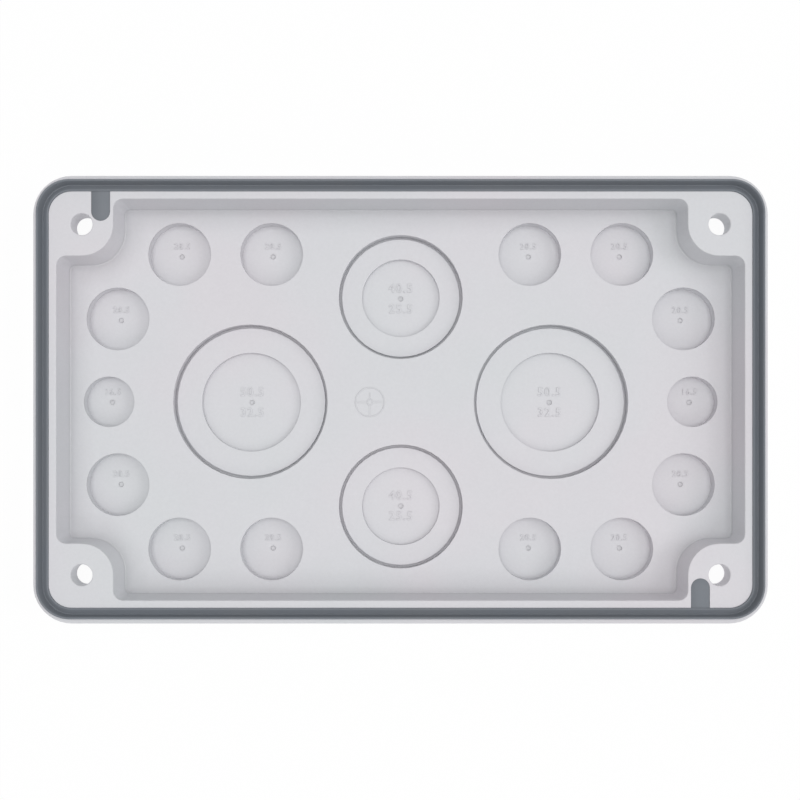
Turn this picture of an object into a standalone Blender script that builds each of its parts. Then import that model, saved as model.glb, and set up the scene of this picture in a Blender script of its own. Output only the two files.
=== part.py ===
"""Cable entry flange plate: a moulded tray with knockouts, and a seal ring set in its rim.

Units are metres. The plate lies on its flat outer face, with the seal side up.
"""

import math

import bmesh
import bpy

# Flange round the tray
PLATE_LENGTH = 0.2330
PLATE_WIDTH = 0.1420
CORNER_RADIUS = 0.0123
FLANGE_THICKNESS = 0.0048
FLANGE_EDGE_ROUND = 0.0004

# Seal groove, from the plate's edge inward
LIP_WIDTH = 0.0017
GROOVE_WIDTH = 0.00335
GROOVE_DEPTH = 0.0024
LAND_WIDTH = 0.0023

# Pocket and the shell round it
POCKET_DEPTH = 0.0080
FLOOR_THICKNESS = 0.0040
WALL_THICKNESS = 0.0032
DRAFT_ANGLE = math.radians(7.5)
POCKET_FILLET = 0.0030
MOUTH_ROUND = 0.0003
FLOOR_ROUND = 0.0005
SHELL_EDGE_ROUND = 0.0015

# Screw holes, each in a pad that fills a corner of the pocket
HOLE_INSET = 0.0154
HOLE_DIAMETER = 0.0068
HOLE_EDGE_ROUND = 0.0004
PAD_RADIUS = 0.0100

# Knockouts: clear diameters, named after the cable gland threads that they suit
HOLE_16 = 0.0165
HOLE_20 = 0.0205
HOLE_25 = 0.0255
HOLE_32 = 0.0325
HOLE_40 = 0.0405
HOLE_50 = 0.0505
WEB_THICKNESS = 0.0008
FACE_STEP = 0.0002
RING_DEPTH = 0.00175
BREAK_GROOVE_WIDTH = 0.00095
DIMPLE_DIAMETER = 0.0019
DIMPLE_FLAT_DIAMETER = 0.0011
DIMPLE_DEPTH = 0.0004

# Places of the knockouts, from the floor's edges and from the pads
ROW_20_EDGE_GAP = 0.0042
ROW_20_PAD_GAP = 0.0075
SIDE_20_EDGE_GAP = 0.0054
SIDE_16_EDGE_GAP = 0.0045
MEDIUM_EDGE_GAP = 0.0081

# How knockouts share the room up to a neighbour: along the row, along the side, along the middle line
ROW_20_INNER_SHARE = 0.5837
SIDE_20_ROOM_SHARE = 0.5442
LARGE_SHARE = 0.5155

# Seal ring and its two moulding tabs
SEAT_GAP = 0.0003
SEAL_PROUD = 0.0020
SEAL_INNER_PROUD = 0.0004
SEAL_EDGE_ROUND = 0.00035
VALLEY_DEPTH = 0.0007
VALLEY_ROUND = 0.0003
VALLEY_SHARE = 0.22
TAB_WIDTH = 0.0060
TAB_DEPTH = 0.0015
TAB_EDGE_WALL = 0.0009
TAB_HOLE_WALL = 0.0009

# Finishes: linear colour and roughness
PLATE_FINISH = ((0.655, 0.658, 0.689), 0.45)
SEAL_FINISH = ((0.205, 0.215, 0.225), 0.6)

# Facets
SHARP_ANGLE = math.radians(30)
CORNER_STEPS = 10
FILLET_STEPS = 5
PAD_STEPS = 10
ROUND_STEPS = 2
HOLE_SEGMENTS = 32
SMALL_SEGMENTS = 32
LARGE_SEGMENTS = 48
DIMPLE_SEGMENTS = 10
TAB_STEPS = 10
SEAL_ROUND_STEPS = 3
CUT_MARGIN = 0.0020

# Heights above the outer face
WEB_TOP = FACE_STEP + WEB_THICKNESS
FLOOR_TOP = FLOOR_THICKNESS
RIM_TOP = FLOOR_THICKNESS + POCKET_DEPTH
FLANGE_UNDERSIDE = RIM_TOP - FLANGE_THICKNESS

# Half sizes that follow from the values above
HALF_LENGTH = PLATE_LENGTH / 2
HALF_WIDTH = PLATE_WIDTH / 2
GROOVE_CENTRE_INSET = LIP_WIDTH + GROOVE_WIDTH / 2
POCKET_INSET = LIP_WIDTH + GROOVE_WIDTH + LAND_WIDTH
POCKET_HALF_X = HALF_LENGTH - POCKET_INSET
POCKET_HALF_Y = HALF_WIDTH - POCKET_INSET
HOLE_X = HALF_LENGTH - HOLE_INSET
HOLE_Y = HALF_WIDTH - HOLE_INSET

# Edges of the floor and of the pads at the floor
FLOOR_DRAFT = POCKET_DEPTH * math.tan(DRAFT_ANGLE)
FLOOR_HALF_X = POCKET_HALF_X - FLOOR_DRAFT
FLOOR_HALF_Y = POCKET_HALF_Y - FLOOR_DRAFT
PAD_FLOOR_X = HOLE_X - PAD_RADIUS - FLOOR_DRAFT
PAD_FLOOR_Y = HOLE_Y - PAD_RADIUS - FLOOR_DRAFT

# Centres of the knockouts
ROW_20_X = PAD_FLOOR_X - ROW_20_PAD_GAP - HOLE_20 / 2
ROW_20_INNER_X = ROW_20_X * ROW_20_INNER_SHARE
ROW_20_Y = FLOOR_HALF_Y - ROW_20_EDGE_GAP - HOLE_20 / 2
SIDE_16_X = FLOOR_HALF_X - SIDE_16_EDGE_GAP - HOLE_16 / 2
SIDE_20_X = FLOOR_HALF_X - SIDE_20_EDGE_GAP - HOLE_20 / 2
SIDE_20_ROOM = PAD_FLOOR_Y - HOLE_16 / 2 - HOLE_20
SIDE_20_Y = HOLE_16 / 2 + SIDE_20_ROOM * SIDE_20_ROOM_SHARE + HOLE_20 / 2
LARGE_X = SIDE_16_X * LARGE_SHARE
MEDIUM_Y = FLOOR_HALF_Y - MEDIUM_EDGE_GAP - HOLE_40 / 2

# Seal ring in its groove
SEAL_HALF_WIDTH = GROOVE_WIDTH / 2 - SEAT_GAP
SEAL_INNER_Y = HALF_WIDTH - GROOVE_CENTRE_INSET - SEAL_HALF_WIDTH


def arc(centre, radius, start, end, steps):
    """Points of an arc between two angles in degrees, both ends included."""
    points = []
    for step in range(steps + 1):
        angle = math.radians(start + (end - start) * step / steps)
        points.append((centre[0] + radius * math.cos(angle), centre[1] + radius * math.sin(angle)))
    return points


def circle(centre, radius, segments):
    """Points of a full circle, without repeating the first."""
    return arc(centre, radius, 0, 360, segments)[:-1]


def rounded_rectangle(half_x, half_y, radius):
    """Outline of a rectangle with round corners, counter-clockwise."""
    points = []
    for quarter, (sign_x, sign_y) in enumerate(((1, 1), (-1, 1), (-1, -1), (1, -1))):
        centre = (sign_x * (half_x - radius), sign_y * (half_y - radius))
        points += arc(centre, radius, 90 * quarter, 90 * quarter + 90, CORNER_STEPS)
    return points


def plate_outline(offset):
    """Outer edge of the flange, moved outward by an offset."""
    return rounded_rectangle(HALF_LENGTH + offset, HALF_WIDTH + offset, CORNER_RADIUS + offset)


def pocket_outline(offset):
    """Mouth of the pocket, moved outward by an offset: a rectangle that steps round the four pads."""
    half_x = POCKET_HALF_X + offset
    half_y = POCKET_HALF_Y + offset
    fillet = POCKET_FILLET + offset
    pad = PAD_RADIUS - offset
    corner = arc((half_x - fillet, HOLE_Y - pad - fillet), fillet, 0, 90, FILLET_STEPS)
    corner += arc((HOLE_X, HOLE_Y), pad, 270, 180, PAD_STEPS)
    corner += arc((HOLE_X - pad - fillet, half_y - fillet), fillet, 0, 90, FILLET_STEPS)
    outline = []
    for sign_x, sign_y in ((1, 1), (-1, 1), (-1, -1), (1, -1)):
        turned = [(sign_x * x, sign_y * y) for x, y in corner]
        if sign_x != sign_y:
            turned.reverse()
        outline += turned
    return outline


def tab_outline(side, half_width):
    """Outline of a moulding tab, from the seal's inner edge to its round end beside a screw hole.

    side is 1 for the tab at +X and -Y, and -1 for the one at -X and +Y.
    """
    centre_x = HOLE_X - PAD_RADIUS + TAB_EDGE_WALL + TAB_WIDTH / 2
    reach = HOLE_DIAMETER / 2 + TAB_HOLE_WALL + TAB_WIDTH / 2
    across = HOLE_X - centre_x
    end_y = HOLE_Y + math.sqrt(max(reach ** 2 - across ** 2, 0.0))
    root_y = SEAL_INNER_Y + SEAL_EDGE_ROUND
    points = arc((centre_x, end_y), half_width, 180, 360, TAB_STEPS)
    points += [(centre_x + half_width, root_y), (centre_x - half_width, root_y)]
    return [(side * x, -side * y) for x, y in points]


def wall_offset(z):
    """Offset of the pocket wall from the mouth's outline at a height, from its draft."""
    return -(RIM_TOP - z) * math.tan(DRAFT_ANGLE)


def quarter_round(radius):
    """Steps round an edge, as pairs of how far it has turned in and how far down."""
    pairs = []
    for step in range(ROUND_STEPS + 1):
        angle = math.radians(90) * step / ROUND_STEPS
        pairs.append((radius * (1 - math.cos(angle)), radius * math.sin(angle)))
    return pairs


def skin(bm, loops):
    """Join neighbouring loops of vertices with faces."""
    for lower, upper in zip(loops, loops[1:]):
        for index in range(len(lower)):
            following = (index + 1) % len(lower)
            bm.faces.new((lower[index], lower[following], upper[following], upper[index]))


def add_loft(bm, sections):
    """Add a closed solid through outlines of equal point counts, each with its height."""
    loops = [[bm.verts.new((x, y, z)) for x, y in outline] for outline, z in sections]
    skin(bm, loops)
    bm.faces.new(loops[0])
    bm.faces.new(loops[-1])


def add_pipe(bm, outer, inner, bottom, top):
    """Add a closed ring between two outlines of equal point counts."""
    corners = ((outer, bottom), (outer, top), (inner, top), (inner, bottom))
    loops = [[bm.verts.new((x, y, z)) for x, y in outline] for outline, z in corners]
    skin(bm, loops + loops[:1])


def add_swept_ring(bm, profile, half_x, half_y, radius):
    """Add a closed profile of outward offsets and heights, swept round a rounded rectangle."""
    loops = []
    for offset, z in profile:
        outline = rounded_rectangle(half_x + offset, half_y + offset, radius + offset)
        loops.append([bm.verts.new((x, y, z)) for x, y in outline])
    skin(bm, loops + loops[:1])


def new_object(name, bm):
    """Turn a bmesh into an object, with its faces pointing out."""
    bmesh.ops.recalc_face_normals(bm, faces=bm.faces)
    mesh = bpy.data.meshes.new(name)
    bm.to_mesh(mesh)
    bm.free()
    result = bpy.data.objects.new(name, mesh)
    bpy.context.collection.objects.link(result)
    return result


def lofted_object(name, sections):
    """Object made of one loft."""
    bm = bmesh.new()
    add_loft(bm, sections)
    return new_object(name, bm)


def combine(target, tool, operation):
    """Add an exact Boolean to the target, and mark the other object as a guide."""
    modifier = target.modifiers.new(tool.name, "BOOLEAN")
    modifier.operation = operation
    modifier.solver = "EXACT"
    modifier.object = tool
    tool.hide_render = True
    tool.display_type = "WIRE"


def finish(target, material):
    """Apply the Booleans, remove the guides, and shade the round faces smooth."""
    guides = [modifier.object for modifier in target.modifiers]
    evaluated = target.evaluated_get(bpy.context.evaluated_depsgraph_get())
    mesh = bpy.data.meshes.new_from_object(evaluated)
    mesh.name = target.name
    target.modifiers.clear()
    target.data = mesh
    for guide in guides:
        bpy.data.objects.remove(guide)
    mesh.materials.clear()
    mesh.materials.append(material)
    mesh.shade_smooth()
    mesh.set_sharp_from_angle(angle=SHARP_ANGLE)


def new_material(name, finish):
    """Plain plastic or rubber, from its colour and roughness."""
    colour, roughness = finish
    material = bpy.data.materials.new(name)
    material.use_nodes = True
    shader = material.node_tree.nodes["Principled BSDF"]
    shader.inputs["Base Color"].default_value = (*colour, 1.0)
    shader.inputs["Roughness"].default_value = roughness
    shader.inputs["Metallic"].default_value = 0.0
    return material


def make_shell():
    """Outside of the tray: the pocket's outline grown by the wall, with a round lower edge."""
    sections = []
    foot = WALL_THICKNESS + wall_offset(SHELL_EDGE_ROUND)
    for turned_in, down in reversed(quarter_round(SHELL_EDGE_ROUND)):
        sections.append((pocket_outline(foot - turned_in), SHELL_EDGE_ROUND - down))
    inside_flange = FLANGE_UNDERSIDE + FLANGE_THICKNESS / 2
    sections.append((pocket_outline(WALL_THICKNESS + wall_offset(inside_flange)), inside_flange))
    return lofted_object("flange_plate", sections)


def make_flange():
    """Slab of the flange, with rounded edges."""
    sections = []
    for turned_in, down in reversed(quarter_round(FLANGE_EDGE_ROUND)):
        sections.append((plate_outline(-turned_in), FLANGE_UNDERSIDE + FLANGE_EDGE_ROUND - down))
    for turned_in, down in quarter_round(FLANGE_EDGE_ROUND):
        sections.append((plate_outline(-turned_in), RIM_TOP - FLANGE_EDGE_ROUND + down))
    return lofted_object("flange_slab", sections)


def make_pocket():
    """Hollow of the tray, with a round at the floor and at the mouth."""
    sections = []
    wall_foot = FLOOR_TOP + FLOOR_ROUND
    for turned_in, down in reversed(quarter_round(FLOOR_ROUND)):
        sections.append((pocket_outline(wall_offset(wall_foot) - turned_in), wall_foot - down))
    wall_head = RIM_TOP - MOUTH_ROUND
    for turned_out, up in quarter_round(MOUTH_ROUND):
        sections.append((pocket_outline(wall_offset(wall_head) + turned_out), wall_head + up))
    last_outline = sections[-1][0]
    sections.append((last_outline, RIM_TOP + CUT_MARGIN))
    return lofted_object("pocket", sections)


def make_seal_groove():
    """Groove round the rim for the seal."""
    half = GROOVE_WIDTH / 2
    bottom = RIM_TOP - GROOVE_DEPTH
    top = RIM_TOP + CUT_MARGIN
    profile = [(-half, bottom), (half, bottom), (half, top), (-half, top)]
    bm = bmesh.new()
    add_seal_path(bm, profile)
    return new_object("seal_groove", bm)


def add_seal_path(bm, profile):
    """Sweep a profile along the middle of the seal groove."""
    add_swept_ring(
        bm,
        profile,
        HALF_LENGTH - GROOVE_CENTRE_INSET,
        HALF_WIDTH - GROOVE_CENTRE_INSET,
        CORNER_RADIUS - GROOVE_CENTRE_INSET,
    )


def make_tab_recesses():
    """Shallow recesses in two pads for the seal's moulding tabs."""
    bm = bmesh.new()
    for side in (-1, 1):
        outline = tab_outline(side, TAB_WIDTH / 2)
        add_loft(bm, [(outline, RIM_TOP - TAB_DEPTH), (outline, RIM_TOP + CUT_MARGIN)])
    return new_object("tab_recesses", bm)


def make_screw_holes():
    """Plain holes through the four pads, with a round at the mouth."""
    bm = bmesh.new()
    radius = HOLE_DIAMETER / 2
    mouth = RIM_TOP - HOLE_EDGE_ROUND
    for x in (-HOLE_X, HOLE_X):
        for y in (-HOLE_Y, HOLE_Y):
            sections = [(circle((x, y), radius, HOLE_SEGMENTS), FLANGE_UNDERSIDE - CUT_MARGIN)]
            for turned_out, up in quarter_round(HOLE_EDGE_ROUND):
                sections.append((circle((x, y), radius + turned_out, HOLE_SEGMENTS), mouth + up))
            sections.append((circle((x, y), radius + HOLE_EDGE_ROUND, HOLE_SEGMENTS), RIM_TOP + CUT_MARGIN))
            add_loft(bm, sections)
    return new_object("screw_holes", bm)


def add_single_knockout(bm, centre, diameter):
    """Round recess that leaves a thin web, and a shallow step that marks it on the outer face."""
    outline = circle(centre, diameter / 2, SMALL_SEGMENTS)
    add_loft(bm, [(outline, WEB_TOP), (outline, FLOOR_TOP + CUT_MARGIN)])
    add_loft(bm, [(outline, -CUT_MARGIN), (outline, FACE_STEP)])


def add_double_knockout(bm, centre, outer_diameter, inner_diameter):
    """Stepped recess: a thick ring with a break groove round it, and a thin disc inside it.

    On the outer face a shallow step marks the ring, and the disc stays level with the face.
    """
    outer = circle(centre, outer_diameter / 2, LARGE_SEGMENTS)
    ring_edge = circle(centre, outer_diameter / 2 - BREAK_GROOVE_WIDTH, LARGE_SEGMENTS)
    inner = circle(centre, inner_diameter / 2, LARGE_SEGMENTS)
    ring_top = FLOOR_TOP - RING_DEPTH
    add_loft(bm, [
        (outer, FLOOR_TOP + CUT_MARGIN),
        (outer, WEB_TOP),
        (ring_edge, WEB_TOP),
        (ring_edge, ring_top),
        (inner, ring_top),
        (inner, WEB_TOP),
    ])
    add_pipe(bm, outer, inner, -CUT_MARGIN, FACE_STEP)


def add_dimple(bm, centre):
    """Small conical centre mark in a knockout's web."""
    bottom = WEB_TOP - DIMPLE_DEPTH
    slope = (DIMPLE_DIAMETER - DIMPLE_FLAT_DIAMETER) / 2 / DIMPLE_DEPTH
    top_radius = DIMPLE_DIAMETER / 2 + DIMPLE_DEPTH * slope
    add_loft(bm, [
        (circle(centre, DIMPLE_FLAT_DIAMETER / 2, DIMPLE_SEGMENTS), bottom),
        (circle(centre, top_radius, DIMPLE_SEGMENTS), WEB_TOP + DIMPLE_DEPTH),
    ])


def single_knockouts():
    """Centre and diameter of each knockout with one size."""
    places = []
    for sign_x in (-1, 1):
        places.append(((sign_x * SIDE_16_X, 0.0), HOLE_16))
        for sign_y in (-1, 1):
            places.append(((sign_x * SIDE_20_X, sign_y * SIDE_20_Y), HOLE_20))
            places.append(((sign_x * ROW_20_X, sign_y * ROW_20_Y), HOLE_20))
            places.append(((sign_x * ROW_20_INNER_X, sign_y * ROW_20_Y), HOLE_20))
    return places


def double_knockouts():
    """Centre, outer diameter and inner diameter of each knockout with two sizes."""
    places = []
    for sign in (-1, 1):
        places.append(((sign * LARGE_X, 0.0), HOLE_50, HOLE_32))
        places.append(((0.0, sign * MEDIUM_Y), HOLE_40, HOLE_25))
    return places


def make_knockouts():
    """Recesses of all the knockouts."""
    bm = bmesh.new()
    for centre, diameter in single_knockouts():
        add_single_knockout(bm, centre, diameter)
    for centre, outer_diameter, inner_diameter in double_knockouts():
        add_double_knockout(bm, centre, outer_diameter, inner_diameter)
    return new_object("knockouts", bm)


def make_dimples():
    """Centre marks of all the knockouts."""
    bm = bmesh.new()
    for centre, *_ in single_knockouts() + double_knockouts():
        add_dimple(bm, centre)
    return new_object("dimples", bm)


def make_plate():
    """Plate: the tray and its flange in one moulding, with every recess cut."""
    plate = make_shell()
    combine(plate, make_flange(), "UNION")
    combine(plate, make_pocket(), "DIFFERENCE")
    combine(plate, make_seal_groove(), "DIFFERENCE")
    combine(plate, make_tab_recesses(), "DIFFERENCE")
    combine(plate, make_screw_holes(), "DIFFERENCE")
    combine(plate, make_knockouts(), "DIFFERENCE")
    combine(plate, make_dimples(), "DIFFERENCE")
    finish(plate, new_material("light_grey_plastic", PLATE_FINISH))


def flank_slope(crest, valley):
    """Angle in degrees of the flank that touches a round crest and the round valley beside it."""
    across = abs(crest[0] - valley[0])
    up = crest[1] - valley[1]
    rounds = SEAL_EDGE_ROUND + VALLEY_ROUND
    return math.degrees(math.atan2(up, across) + math.asin(rounds / math.hypot(across, up)))


def seal_profile():
    """Section of the seal ring: a tall round lip at the outer edge, a valley, and a low round inner edge."""
    bottom = RIM_TOP - GROOVE_DEPTH + SEAT_GAP
    edge_offset = SEAL_HALF_WIDTH - SEAL_EDGE_ROUND
    lip = (edge_offset, RIM_TOP + SEAL_PROUD - SEAL_EDGE_ROUND)
    inner = (-edge_offset, RIM_TOP + SEAL_INNER_PROUD - SEAL_EDGE_ROUND)
    valley = (SEAL_HALF_WIDTH * VALLEY_SHARE, RIM_TOP - VALLEY_DEPTH + VALLEY_ROUND)
    lip_slope = flank_slope(lip, valley)
    inner_slope = flank_slope(inner, valley)
    profile = [(SEAL_HALF_WIDTH, bottom)]
    profile += arc(lip, SEAL_EDGE_ROUND, 0, 90 + lip_slope, SEAL_ROUND_STEPS)
    profile += arc(valley, VALLEY_ROUND, lip_slope - 90, -90 - inner_slope, SEAL_ROUND_STEPS)
    profile += arc(inner, SEAL_EDGE_ROUND, 90 - inner_slope, 180, SEAL_ROUND_STEPS)
    profile.append((-SEAL_HALF_WIDTH, bottom))
    return profile


def make_tabs():
    """Two flat tabs, level with the rim, which join the seal ring."""
    bm = bmesh.new()
    for side in (-1, 1):
        outline = tab_outline(side, TAB_WIDTH / 2 - SEAT_GAP)
        add_loft(bm, [(outline, RIM_TOP - TAB_DEPTH + SEAT_GAP), (outline, RIM_TOP)])
    return new_object("seal_tabs", bm)


def make_gasket():
    """Seal ring with its tabs, in one piece."""
    bm = bmesh.new()
    add_seal_path(bm, seal_profile())
    gasket = new_object("gasket", bm)
    combine(gasket, make_tabs(), "UNION")
    finish(gasket, new_material("dark_grey_rubber", SEAL_FINISH))


def clear_scene():
    """Remove the objects that a new file starts with."""
    for existing in list(bpy.data.objects):
        bpy.data.objects.remove(existing)


clear_scene()
make_plate()
make_gasket()
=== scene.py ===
"""Looks of the cable entry flange plate: finishes, fine edges, seal, size marks, light and camera.

Units are metres. The plate lies on its flat outer face, with the seal side up.
"""

import math

import bmesh
import bpy
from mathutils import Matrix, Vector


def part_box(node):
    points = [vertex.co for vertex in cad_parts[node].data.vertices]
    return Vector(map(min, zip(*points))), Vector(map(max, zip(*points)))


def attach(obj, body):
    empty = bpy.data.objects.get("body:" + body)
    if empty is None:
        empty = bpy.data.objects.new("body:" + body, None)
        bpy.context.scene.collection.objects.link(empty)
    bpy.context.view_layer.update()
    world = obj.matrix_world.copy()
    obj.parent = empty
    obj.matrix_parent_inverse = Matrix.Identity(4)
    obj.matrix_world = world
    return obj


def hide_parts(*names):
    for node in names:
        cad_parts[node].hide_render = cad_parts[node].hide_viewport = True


# Sizes of the solids that the seal and the marks follow
CORNER_RADIUS = 0.0123
LIP_WIDTH = 0.0017
GROOVE_WIDTH = 0.00335
GROOVE_DEPTH = 0.0024
HOLE_INSET = 0.0154
HOLE_DIAMETER = 0.0068
PAD_RADIUS = 0.0100
FLOOR_TOP = 0.0040
WEB_TOP = 0.0010
SEAL_PROUD = 0.0020
SEAL_INNER_PROUD = 0.0004
SEAL_EDGE_ROUND = 0.00035
VALLEY_DEPTH = 0.0007
VALLEY_ROUND = 0.0003
VALLEY_SHARE = 0.22
TAB_WIDTH = 0.0060
TAB_DEPTH = 0.0015
TAB_EDGE_WALL = 0.0009
TAB_HOLE_WALL = 0.0009

# Centres of the knockouts, in the quarter with +X and +Y
ROW_20_PLACES = ((0.0723, 0.04815), (0.0422, 0.04815), (0.09245, 0.0271))
SIDE_16_X = 0.09535
LARGE_X = 0.04915
MEDIUM_Y = 0.03425

# Fine edges of the plate
WELD_DISTANCE = 1e-6
PLANAR_ANGLE = math.radians(0.5)
EDGE_ANGLE = math.radians(50)
EDGE_ROUND = 0.00015
EDGE_SAMPLES = 6

# Values between which a noise mostly stays
NOISE_LIMITS = (0.3, 0.7)

# Light grey plastic: tint by the clouds' value, each noise as features a metre and detail, what the specks
# leave of the colour, and each bump as strength and depth
PLASTIC_TINTS = (
    (0.35, (0.655, 0.668, 0.690)),
    (0.50, (0.668, 0.668, 0.697)),
    (0.65, (0.682, 0.664, 0.697)),
)
PLASTIC_CLOUDS = (16.0, 3.0)
PLASTIC_SPECKS = (1100.0, 4.0)
PLASTIC_GLOSS = (90.0, 3.0)
PLASTIC_WAVES = (220.0, 2.0)
PLASTIC_GRAIN = (2600.0, 3.0)
SPECK_LEVELS = (0.985, 1.015)
PLASTIC_ROUGHNESS = (0.43, 0.52)
PLASTIC_WAVE_BUMP = (0.12, 0.00006)
PLASTIC_GRAIN_BUMP = (0.22, 0.00003)
PLASTIC_IOR = 1.46

# Dark grey rubber, in the same terms
RUBBER_TINTS = (
    (0.35, (0.184, 0.202, 0.228)),
    (0.65, (0.194, 0.208, 0.230)),
)
RUBBER_CLOUDS = (45.0, 4.0)
RUBBER_BLOOM = (420.0, 4.0)
RUBBER_GRAIN = (3200.0, 3.0)
RUBBER_ROUGHNESS = (0.58, 0.70)
RUBBER_GRAIN_BUMP = (0.30, 0.00003)
RUBBER_IOR = 1.48

# Shade at the feet of the walls and in the break grooves: how far walls count, what it takes at each
# openness, and its share by height
SHADE_REACH = 0.009
SHADE_STOPS = ((0.20, 0.62), (0.28, 0.175), (0.66, 0.175), (1.0, 0.0))
SHADE_SAMPLES = 8
SHADE_HEIGHT = 0.006
SHADE_SHARES = ((0.0005, 0.0), (0.0008, 0.4), (0.0011, 0.4), (0.0014, 0.0),
                (0.0032, 0.0), (0.0039, 1.0), (0.0041, 1.0), (0.0052, 0.0))

# Seal, as it fills its groove
SEAL_CLEARANCE = 0.00002
CORNER_STEPS = 24
SEAL_ROUND_STEPS = 10
TAB_STEPS = 32
TAB_EDGE_ROUND = 0.00012

# Raised numbers on the knockouts
SMALL_TEXT_SIZE = 0.0028
LARGE_TEXT_SIZE = 0.0041
TEXT_SPACING = 1.15
TEXT_HEIGHT = 0.00019
TEXT_BEVEL = 0.00003
TEXT_CURVE_STEPS = 3
TEXT_OFFSET_Y = 0.0034

# Fine rings round the centre marks, and the mould's round mark on the floor
CENTRE_RING_RADIUS = 0.00095
CENTRE_RING_HEIGHT = 0.00003
DIAL_CENTRE = (-0.0101, -0.0001)
DIAL_RADIUS = 0.0047
DIAL_HUB_RADIUS = 0.0009
DIAL_POINTER_REACH = 0.0032
DIAL_SPOKE_WIDTH = 0.0005
DIAL_HEIGHT = 0.00013
LINE_WIDTH = 0.00042
LINE_STEPS = 6
RING_SEGMENTS = 96

# How far the foot of each raised mark is sunk into the plate
MARK_SUNK = 0.00002

# Camera, straight above the plate and a little in front of its middle
IMAGE_SIZE = 800
SENSOR_WIDTH = 36.0
VIEW_WIDTH = 0.2534
CAMERA_DISTANCE = 0.2469
CAMERA_X = 0.00205
CAMERA_Y = -0.02173
PRINCIPAL_PIXEL = (407.0, 468.2)
CLIP_START = 0.01
CLIP_END = 20.0

# Light: the even sky's share of the light on a level surface
SKY_SHARE = 0.40

# Each lamp's azimuth and elevation in degrees, its share of the light on a level surface, and its size
LAMPS = {
    "lamp_top": (0, 90, 0.54, 5.0),
    "lamp_right": (0, 30, 0.105, 2.5),
    "lamp_left": (180, 30, 0.015, 2.5),
    "lamp_back": (90, 30, 0.02, 2.5),
    "lamp_front": (270, 30, 0.05, 2.5),
}
LAMP_DISTANCE = 5.0

# Floor, and how far it is plain white for the camera and for all other rays
FLOOR_SIZE = 4.0
FLOOR_GAP = 0.0001
FLOOR_LEVEL = 0.97
FLOOR_ROUGHNESS = 0.9
FLOOR_GLOW = 0.93
TABLE_GLOW = 0.60


def arc(centre, radius, start, end, steps):
    """Points of an arc between two angles in degrees, both ends included."""
    points = []
    for step in range(steps + 1):
        angle = math.radians(start + (end - start) * step / steps)
        points.append((centre[0] + radius * math.cos(angle), centre[1] + radius * math.sin(angle)))
    return points


def new_object(name, bm, material):
    """Turn a bmesh into an object with a material, and its faces pointing out."""
    bmesh.ops.recalc_face_normals(bm, faces=bm.faces)
    mesh = bpy.data.meshes.new(name)
    bm.to_mesh(mesh)
    bm.free()
    mesh.materials.append(material)
    result = bpy.data.objects.new(name, mesh)
    bpy.context.collection.objects.link(result)
    return result


def skin(bm, loops):
    """Join neighbouring loops of vertices with faces."""
    for lower, upper in zip(loops, loops[1:]):
        for index in range(len(lower)):
            following = (index + 1) % len(lower)
            bm.faces.new((lower[index], lower[following], upper[following], upper[index]))


def add_loft(bm, sections):
    """Add a closed solid through outlines of equal point counts, each with its height."""
    loops = [[bm.verts.new((x, y, z)) for x, y in outline] for outline, z in sections]
    skin(bm, loops)
    bm.faces.new(loops[0])
    bm.faces.new(loops[-1])


def smooth_by_angle_group():
    """Node group that drops stored normals and shades smooth, apart from edges sharper than an angle."""
    group = bpy.data.node_groups.new("smooth_by_angle", "GeometryNodeTree")
    group.interface.new_socket("Geometry", in_out="INPUT", socket_type="NodeSocketGeometry")
    group.interface.new_socket("Geometry", in_out="OUTPUT", socket_type="NodeSocketGeometry")
    nodes = group.nodes
    links = group.links
    source = nodes.new("NodeGroupInput")
    target = nodes.new("NodeGroupOutput")
    remove = nodes.new("GeometryNodeRemoveAttribute")
    remove.inputs["Name"].default_value = "custom_normal"
    faces = nodes.new("GeometryNodeSetShadeSmooth")
    faces.domain = "FACE"
    faces.inputs["Shade Smooth"].default_value = True
    edges = nodes.new("GeometryNodeSetShadeSmooth")
    edges.domain = "EDGE"
    angle = nodes.new("GeometryNodeInputMeshEdgeAngle")
    compare = nodes.new("FunctionNodeCompare")
    compare.operation = "LESS_THAN"
    compare.inputs["B"].default_value = EDGE_ANGLE
    links.new(source.outputs[0], remove.inputs[0])
    links.new(remove.outputs[0], faces.inputs[0])
    links.new(faces.outputs[0], edges.inputs[0])
    links.new(angle.outputs["Unsigned Angle"], compare.inputs["A"])
    links.new(compare.outputs[0], edges.inputs["Shade Smooth"])
    links.new(edges.outputs[0], target.inputs[0])
    return group


def refine_faces(piece):
    """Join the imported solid's faces, and shade the round ones smooth."""
    weld = piece.modifiers.new("weld", "WELD")
    weld.merge_threshold = WELD_DISTANCE
    planar = piece.modifiers.new("planar", "DECIMATE")
    planar.decimate_type = "DISSOLVE"
    planar.angle_limit = PLANAR_ANGLE
    smooth = piece.modifiers.new("smooth", "NODES")
    smooth.node_group = smooth_by_angle_group()
    normals = piece.modifiers.new("normals", "WEIGHTED_NORMAL")
    normals.mode = "FACE_AREA"
    normals.keep_sharp = True


def noise(nodes, links, coordinates, pattern):
    """Noise texture on the object's own coordinates, from its features a metre and its detail."""
    scale, detail = pattern
    texture = nodes.new("ShaderNodeTexNoise")
    texture.inputs["Scale"].default_value = scale
    texture.inputs["Detail"].default_value = detail
    links.new(coordinates, texture.inputs["Vector"])
    return texture.outputs["Fac"]


def colour_ramp(nodes, links, value, stops):
    """Colours along a value, as pairs of place and linear colour."""
    ramp = nodes.new("ShaderNodeValToRGB")
    elements = ramp.color_ramp.elements
    while len(elements) < len(stops):
        elements.new(0.5)
    for element, (place, colour) in zip(elements, stops):
        element.position = place
        element.color = (*colour, 1.0)
    links.new(value, ramp.inputs["Fac"])
    return ramp.outputs["Color"]


def grey_ramp(nodes, links, value, stops):
    """Value along another value, as pairs of place and value."""
    return colour_ramp(nodes, links, value, [(place, (level, level, level)) for place, level in stops])


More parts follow.
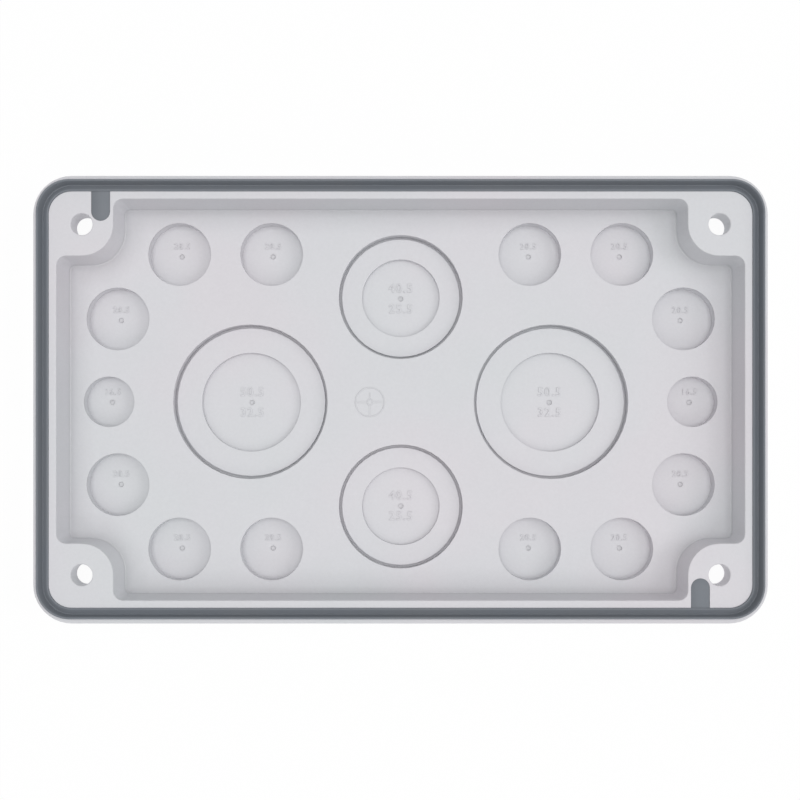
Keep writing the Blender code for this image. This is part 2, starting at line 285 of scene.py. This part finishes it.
def multiply(nodes, links, first, second):
    """Product of two values."""
    product = nodes.new("ShaderNodeMath")
    product.operation = "MULTIPLY"
    links.new(first, product.inputs[0])
    links.new(second, product.inputs[1])
    return product.outputs[0]


def blend(nodes, links, value, source, target):
    """Value carried from one pair of limits to another, and held beyond them."""
    spread = nodes.new("ShaderNodeMapRange")
    for name, limit in zip(("From Min", "From Max", "To Min", "To Max"), source + target):
        spread.inputs[name].default_value = limit
    links.new(value, spread.inputs["Value"])
    return spread.outputs["Result"]


def wall_shade(nodes, links, coordinates):
    """Share of the colour that shade leaves on the floor and the webs, at the feet of their walls."""
    openness = nodes.new("ShaderNodeAmbientOcclusion")
    openness.samples = SHADE_SAMPLES
    openness.inputs["Distance"].default_value = SHADE_REACH
    parts = nodes.new("ShaderNodeSeparateXYZ")
    links.new(coordinates, parts.inputs["Vector"])
    height = blend(nodes, links, parts.outputs["Z"], (0.0, SHADE_HEIGHT), (0.0, 1.0))
    level = grey_ramp(nodes, links, height, [(z / SHADE_HEIGHT, share) for z, share in SHADE_SHARES])
    closed = grey_ramp(nodes, links, openness.outputs["AO"], SHADE_STOPS)
    return blend(nodes, links, multiply(nodes, links, level, closed), (0.0, 1.0), (1.0, 0.0))


def fine_edges(nodes):
    """Normal that rounds each sharp edge a little."""
    edges = nodes.new("ShaderNodeBevel")
    edges.samples = EDGE_SAMPLES
    edges.inputs["Radius"].default_value = EDGE_ROUND
    return edges.outputs["Normal"]


def add_bump(nodes, links, height, relief, below):
    """Bump from a height, with its strength and depth, over another normal."""
    strength, distance = relief
    bump = nodes.new("ShaderNodeBump")
    bump.inputs["Strength"].default_value = strength
    bump.inputs["Distance"].default_value = distance
    links.new(height, bump.inputs["Height"])
    links.new(below, bump.inputs["Normal"])
    return bump.outputs["Normal"]


def start_material(name):
    """Material with a Principled shader, and what its textures need."""
    material = bpy.data.materials.new(name)
    material.use_nodes = True
    nodes = material.node_tree.nodes
    links = material.node_tree.links
    coordinates = nodes.new("ShaderNodeTexCoord").outputs["Object"]
    return material, nodes, links, coordinates, nodes["Principled BSDF"]


def light_plastic():
    """Light grey moulded plastic: a fine matt grain, and faint cloudy changes of tint and gloss."""
    material, nodes, links, coordinates, shader = start_material("light_grey_plastic")
    clouds = noise(nodes, links, coordinates, PLASTIC_CLOUDS)
    tint = colour_ramp(nodes, links, clouds, PLASTIC_TINTS)
    specks = noise(nodes, links, coordinates, PLASTIC_SPECKS)
    level = blend(nodes, links, specks, NOISE_LIMITS, SPECK_LEVELS)
    shade = multiply(nodes, links, level, wall_shade(nodes, links, coordinates))
    mixed = nodes.new("ShaderNodeVectorMath")
    mixed.operation = "SCALE"
    links.new(tint, mixed.inputs[0])
    links.new(shade, mixed.inputs["Scale"])
    links.new(mixed.outputs[0], shader.inputs["Base Color"])
    gloss = noise(nodes, links, coordinates, PLASTIC_GLOSS)
    links.new(blend(nodes, links, gloss, NOISE_LIMITS, PLASTIC_ROUGHNESS), shader.inputs["Roughness"])
    waves = noise(nodes, links, coordinates, PLASTIC_WAVES)
    waved = add_bump(nodes, links, waves, PLASTIC_WAVE_BUMP, fine_edges(nodes))
    grain = noise(nodes, links, coordinates, PLASTIC_GRAIN)
    links.new(add_bump(nodes, links, grain, PLASTIC_GRAIN_BUMP, waved), shader.inputs["Normal"])
    shader.inputs["IOR"].default_value = PLASTIC_IOR
    return material


def dark_rubber():
    """Dark grey seal rubber: matt, with a faint bloom and a fine grain."""
    material, nodes, links, coordinates, shader = start_material("dark_grey_rubber")
    clouds = noise(nodes, links, coordinates, RUBBER_CLOUDS)
    links.new(colour_ramp(nodes, links, clouds, RUBBER_TINTS), shader.inputs["Base Color"])
    bloom = noise(nodes, links, coordinates, RUBBER_BLOOM)
    links.new(blend(nodes, links, bloom, NOISE_LIMITS, RUBBER_ROUGHNESS), shader.inputs["Roughness"])
    grain = noise(nodes, links, coordinates, RUBBER_GRAIN)
    normal = add_bump(nodes, links, grain, RUBBER_GRAIN_BUMP, fine_edges(nodes))
    links.new(normal, shader.inputs["Normal"])
    shader.inputs["IOR"].default_value = RUBBER_IOR
    return material


def rounded_rectangle(half_x, half_y, radius):
    """Outline of a rectangle with round corners, counter-clockwise."""
    points = []
    for quarter, (sign_x, sign_y) in enumerate(((1, 1), (-1, 1), (-1, -1), (1, -1))):
        centre = (sign_x * (half_x - radius), sign_y * (half_y - radius))
        points += arc(centre, radius, 90 * quarter, 90 * quarter + 90, CORNER_STEPS)
    return points


def flank_slope(crest, valley):
    """Angle in degrees of the flank that touches a round crest and the round valley beside it."""
    across = abs(crest[0] - valley[0])
    up = crest[1] - valley[1]
    rounds = SEAL_EDGE_ROUND + VALLEY_ROUND
    return math.degrees(math.atan2(up, across) + math.asin(rounds / math.hypot(across, up)))


def seal_profile(rim_top):
    """Section of the seal: a tall round lip at the outer edge, a valley, and a low round inner edge."""
    half = GROOVE_WIDTH / 2 - SEAL_CLEARANCE
    bottom = rim_top - GROOVE_DEPTH + SEAL_CLEARANCE
    edge_offset = half - SEAL_EDGE_ROUND
    lip = (edge_offset, rim_top + SEAL_PROUD - SEAL_EDGE_ROUND)
    inner = (-edge_offset, rim_top + SEAL_INNER_PROUD - SEAL_EDGE_ROUND)
    valley = (half * VALLEY_SHARE, rim_top - VALLEY_DEPTH + VALLEY_ROUND)
    lip_slope = flank_slope(lip, valley)
    inner_slope = flank_slope(inner, valley)
    profile = [(half, bottom)]
    profile += arc(lip, SEAL_EDGE_ROUND, 0, 90 + lip_slope, SEAL_ROUND_STEPS)
    profile += arc(valley, VALLEY_ROUND, lip_slope - 90, -90 - inner_slope, SEAL_ROUND_STEPS)
    profile += arc(inner, SEAL_EDGE_ROUND, 90 - inner_slope, 180, SEAL_ROUND_STEPS)
    profile.append((-half, bottom))
    return profile


def tab_outline(side, half_width, half_x, half_y):
    """Outline of a moulding tab, from the seal's inner edge to its round end beside a screw hole."""
    hole_x = half_x - HOLE_INSET
    hole_y = half_y - HOLE_INSET
    centre_x = hole_x - PAD_RADIUS + TAB_EDGE_WALL + TAB_WIDTH / 2
    reach = HOLE_DIAMETER / 2 + TAB_HOLE_WALL + TAB_WIDTH / 2
    end_y = hole_y + math.sqrt(reach ** 2 - (hole_x - centre_x) ** 2)
    root_y = half_y - LIP_WIDTH - GROOVE_WIDTH + SEAL_CLEARANCE + SEAL_EDGE_ROUND
    points = arc((centre_x, end_y), half_width, 180, 360, TAB_STEPS)
    points += [(centre_x + half_width, root_y), (centre_x - half_width, root_y)]
    return [(side * x, -side * y) for x, y in points]


def make_seal(rim_top, half_x, half_y, material):
    """Seal ring and its two flat tabs, joined into one mesh."""
    bm = bmesh.new()
    inset = LIP_WIDTH + GROOVE_WIDTH / 2
    loops = []
    for offset, z in seal_profile(rim_top):
        outline = rounded_rectangle(
            half_x - inset + offset, half_y - inset + offset, CORNER_RADIUS - inset + offset
        )
        loops.append([bm.verts.new((x, y, z)) for x, y in outline])
    skin(bm, loops + loops[:1])
    seal = new_object("seal_ring", bm, material)
    bm = bmesh.new()
    half_width = TAB_WIDTH / 2 - SEAL_CLEARANCE
    for side in (-1, 1):
        add_loft(bm, [
            (tab_outline(side, half_width, half_x, half_y), rim_top - TAB_DEPTH + SEAL_CLEARANCE),
            (tab_outline(side, half_width, half_x, half_y), rim_top - TAB_EDGE_ROUND),
            (tab_outline(side, half_width - TAB_EDGE_ROUND, half_x, half_y), rim_top),
        ])
    tabs = new_object("seal_tabs", bm, material)
    union = seal.modifiers.new("tabs", "BOOLEAN")
    union.operation = "UNION"
    union.solver = "EXACT"
    union.object = tabs
    joined = bpy.data.meshes.new_from_object(seal.evaluated_get(bpy.context.evaluated_depsgraph_get()))
    seal.modifiers.clear()
    bpy.data.objects.remove(tabs)
    seal.data = joined
    joined.shade_smooth()
    joined.set_sharp_from_angle(angle=EDGE_ANGLE)
    return seal


def add_text(bm, text, size, x, y):
    """Add raised characters on a knockout's web, centred on a place."""
    curve = bpy.data.curves.new("characters", "FONT")
    curve.body = text
    curve.size = size
    curve.space_character = TEXT_SPACING
    curve.align_x = "CENTER"
    curve.align_y = "CENTER"
    curve.extrude = TEXT_HEIGHT / 2
    curve.bevel_depth = TEXT_BEVEL
    curve.bevel_resolution = 0
    curve.resolution_u = TEXT_CURVE_STEPS
    holder = bpy.data.objects.new("characters", curve)
    bpy.context.collection.objects.link(holder)
    mesh = bpy.data.meshes.new_from_object(holder.evaluated_get(bpy.context.evaluated_depsgraph_get()))
    first = len(bm.verts)
    bm.from_mesh(mesh)
    bm.verts.ensure_lookup_table()
    for vertex in bm.verts[first:]:
        vertex.co.x += x
        vertex.co.y += y
        vertex.co.z += WEB_TOP + TEXT_HEIGHT / 2 - MARK_SUNK
    bpy.data.objects.remove(holder)
    bpy.data.curves.remove(curve)
    bpy.data.meshes.remove(mesh)


def add_ring(bm, centre, radius, base, height):
    """Add a fine raised line round a place, on a level base."""
    loops = []
    for offset, rise in arc((0.0, 0.0), 1.0, 0, 180, LINE_STEPS):
        outline = arc(centre, radius + offset * LINE_WIDTH / 2, 0, 360, RING_SEGMENTS)[:-1]
        z = base - MARK_SUNK + rise * height
        loops.append([bm.verts.new((x, y, z)) for x, y in outline])
    skin(bm, loops + loops[:1])


def knockout_marks():
    """Centre of each knockout, the size of its numbers, and each number with its side of the centre."""
    marks = []
    for sign_x in (-1, 1):
        marks.append(((sign_x * SIDE_16_X, 0.0), SMALL_TEXT_SIZE, {"16.5": 1}))
        for sign_y in (-1, 1):
            for x, y in ROW_20_PLACES:
                marks.append(((sign_x * x, sign_y * y), SMALL_TEXT_SIZE, {"20.5": 1}))
        marks.append(((sign_x * LARGE_X, 0.0), LARGE_TEXT_SIZE, {"50.5": 1, "32.5": -1}))
    for sign_y in (-1, 1):
        marks.append(((0.0, sign_y * MEDIUM_Y), LARGE_TEXT_SIZE, {"40.5": 1, "25.5": -1}))
    return marks


def make_marks(material):
    """Raised plain numbers on the knockouts' webs, and a fine ring round each centre mark."""
    bm = bmesh.new()
    for (x, y), size, numbers in knockout_marks():
        add_ring(bm, (x, y), CENTRE_RING_RADIUS, WEB_TOP, CENTRE_RING_HEIGHT)
        for number, side in numbers.items():
            add_text(bm, number, size, x, y + side * TEXT_OFFSET_Y)
    return new_object("raised_numbers", bm, material)


def turned(points, centre, degrees):
    """Points turned by an angle and moved to a centre."""
    turn = math.radians(degrees)
    cosine = math.cos(turn)
    sine = math.sin(turn)
    return [(centre[0] + x * cosine - y * sine, centre[1] + x * sine + y * cosine) for x, y in points]


def make_dial(material):
    """Faint round mark of a mould insert on the floor: two rings, a pointer and three spokes."""
    bm = bmesh.new()
    add_ring(bm, DIAL_CENTRE, DIAL_RADIUS, FLOOR_TOP, DIAL_HEIGHT)
    add_ring(bm, DIAL_CENTRE, DIAL_HUB_RADIUS, FLOOR_TOP, DIAL_HEIGHT)
    half = DIAL_SPOKE_WIDTH / 2
    pointer = ((-half, DIAL_HUB_RADIUS), (half, DIAL_HUB_RADIUS), (0.0, DIAL_POINTER_REACH))
    spoke = ((DIAL_HUB_RADIUS, -half), (DIAL_RADIUS, -half), (DIAL_RADIUS, half), (DIAL_HUB_RADIUS, half))
    shapes = [turned(pointer, DIAL_CENTRE, 0)]
    shapes += [turned(spoke, DIAL_CENTRE, degrees) for degrees in (0, 180, 270)]
    for shape in shapes:
        add_loft(bm, [(shape, FLOOR_TOP - MARK_SUNK), (shape, FLOOR_TOP + DIAL_HEIGHT / 2)])
    dial = new_object("mould_mark", bm, material)
    dial.data.shade_smooth()
    dial.data.set_sharp_from_angle(angle=EDGE_ANGLE)
    return dial


def make_floor():
    """Plain white floor that shows the object's soft shadow faintly to the camera."""
    material = bpy.data.materials.new("white_floor")
    material.use_nodes = True
    nodes = material.node_tree.nodes
    links = material.node_tree.links
    shader = nodes["Principled BSDF"]
    shader.inputs["Base Color"].default_value = (FLOOR_LEVEL, FLOOR_LEVEL, FLOOR_LEVEL, 1.0)
    shader.inputs["Roughness"].default_value = FLOOR_ROUGHNESS
    shader.inputs["Specular IOR Level"].default_value = 0.0
    glow = nodes.new("ShaderNodeEmission")
    glow.inputs["Color"].default_value = (1.0, 1.0, 1.0, 1.0)
    seen = nodes.new("ShaderNodeLightPath").outputs["Is Camera Ray"]
    mix = nodes.new("ShaderNodeMixShader")
    links.new(blend(nodes, links, seen, (0.0, 1.0), (TABLE_GLOW, FLOOR_GLOW)), mix.inputs[0])
    links.new(shader.outputs[0], mix.inputs[1])
    links.new(glow.outputs[0], mix.inputs[2])
    links.new(mix.outputs[0], nodes["Material Output"].inputs["Surface"])
    bm = bmesh.new()
    half = FLOOR_SIZE / 2
    corners = ((-half, -half), (half, -half), (half, half), (-half, half))
    bm.faces.new([bm.verts.new((x, y, -FLOOR_GAP)) for x, y in corners])
    floor = new_object("floor", bm, material)


def make_sky():
    """Even dim light from all round, and plain white where the camera sees past the floor."""
    world = bpy.data.worlds.new("sky")
    world.use_nodes = True
    nodes = world.node_tree.nodes
    links = world.node_tree.links
    light = nodes["Background"]
    light.inputs["Color"].default_value = (1.0, 1.0, 1.0, 1.0)
    light.inputs["Strength"].default_value = SKY_SHARE
    white = nodes.new("ShaderNodeBackground")
    white.inputs["Color"].default_value = (1.0, 1.0, 1.0, 1.0)
    white.inputs["Strength"].default_value = 1.0
    mix = nodes.new("ShaderNodeMixShader")
    links.new(nodes.new("ShaderNodeLightPath").outputs["Is Camera Ray"], mix.inputs[0])
    links.new(light.outputs[0], mix.inputs[1])
    links.new(white.outputs[0], mix.inputs[2])
    links.new(mix.outputs[0], nodes["World Output"].inputs["Surface"])
    bpy.context.scene.world = world


def make_lamps():
    """Soft boxes above and round the plate, each set by its share of the light on a level surface."""
    for name, (azimuth, elevation, share, size) in LAMPS.items():
        turn = math.radians(azimuth)
        tilt = math.radians(elevation)
        lamp = bpy.data.lights.new(name, "AREA")
        lamp.shape = "SQUARE"
        lamp.size = size
        lamp.energy = share * math.pi ** 2 * LAMP_DISTANCE ** 2 / math.sin(tilt)
        holder = bpy.data.objects.new(name, lamp)
        bpy.context.collection.objects.link(holder)
        reach = LAMP_DISTANCE * math.cos(tilt)
        holder.location = (reach * math.cos(turn), reach * math.sin(turn), LAMP_DISTANCE * math.sin(tilt))
        holder.rotation_euler = (0.0, math.pi / 2 - tilt, turn)
        holder.visible_camera = False


def make_camera(rim_top):
    """Camera that looks straight down, with its picture shifted along the plate."""
    data = bpy.data.cameras.new("camera")
    data.sensor_width = SENSOR_WIDTH
    data.lens = SENSOR_WIDTH * CAMERA_DISTANCE / VIEW_WIDTH
    data.shift_x = (IMAGE_SIZE / 2 - PRINCIPAL_PIXEL[0]) / IMAGE_SIZE
    data.shift_y = (PRINCIPAL_PIXEL[1] - IMAGE_SIZE / 2) / IMAGE_SIZE
    data.clip_start = CLIP_START
    data.clip_end = CLIP_END
    camera = bpy.data.objects.new("camera", data)
    bpy.context.collection.objects.link(camera)
    camera.location = (CAMERA_X, CAMERA_Y, rim_top + CAMERA_DISTANCE)
    bpy.context.scene.camera = camera


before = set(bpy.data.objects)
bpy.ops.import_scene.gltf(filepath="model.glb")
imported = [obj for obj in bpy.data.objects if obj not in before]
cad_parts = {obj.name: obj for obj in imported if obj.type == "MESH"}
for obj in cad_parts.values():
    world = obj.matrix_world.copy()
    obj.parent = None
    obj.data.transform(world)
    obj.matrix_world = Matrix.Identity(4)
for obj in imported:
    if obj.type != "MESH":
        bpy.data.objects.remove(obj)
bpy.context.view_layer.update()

plate_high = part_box("flange_plate")[1]
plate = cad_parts["flange_plate"]
plastic = light_plastic()
plate.material_slots[0].material = plastic
refine_faces(plate)

seal = make_seal(plate_high.z, plate_high.x, plate_high.y, dark_rubber())
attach(seal, "root")
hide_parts("gasket")

for mark in (make_marks(plastic), make_dial(plastic)):
    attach(mark, "root")

make_floor()
make_sky()
make_lamps()
make_camera(plate_high.z)
bpy.context.scene.view_settings.view_transform = "Standard"
